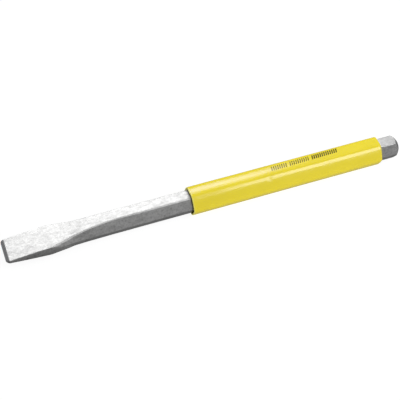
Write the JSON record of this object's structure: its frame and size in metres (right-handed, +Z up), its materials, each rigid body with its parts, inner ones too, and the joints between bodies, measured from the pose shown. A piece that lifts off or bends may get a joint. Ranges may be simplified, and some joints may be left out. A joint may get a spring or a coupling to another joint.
{
  "type": "flat cold chisel",
  "caption": "Flat cold chisel: a hexagonal steel bar forged to a flat blade with a ground edge, with a chamfered striking head and a push-on vinyl grip sleeve.",
  "frame": {"origin": "on the ground below the middle of the tool's length, under the bar's axis; the tool lies on the lower flat of its sleeve", "axes": "+X along the bar from the cutting edge to the striking head, +Z up, square to the blade's flat faces; +Y completes the right-handed frame"},
  "size_m": [0.305, 0.022, 0.0202],
  "materials": {
    "forged_steel": "bare forged and tumbled steel, satin, with faint mottling, small pits and a fine grain along the bar",
    "yellow_vinyl": "soft semi-gloss PVC, slightly wavy, with rounded corners and a rounded back lip"
  },
  "bodies": {
    "root": {"chisel_bar": "forged_steel", "grip_sleeve": "yellow_vinyl"}
  },
  "joints": []
}
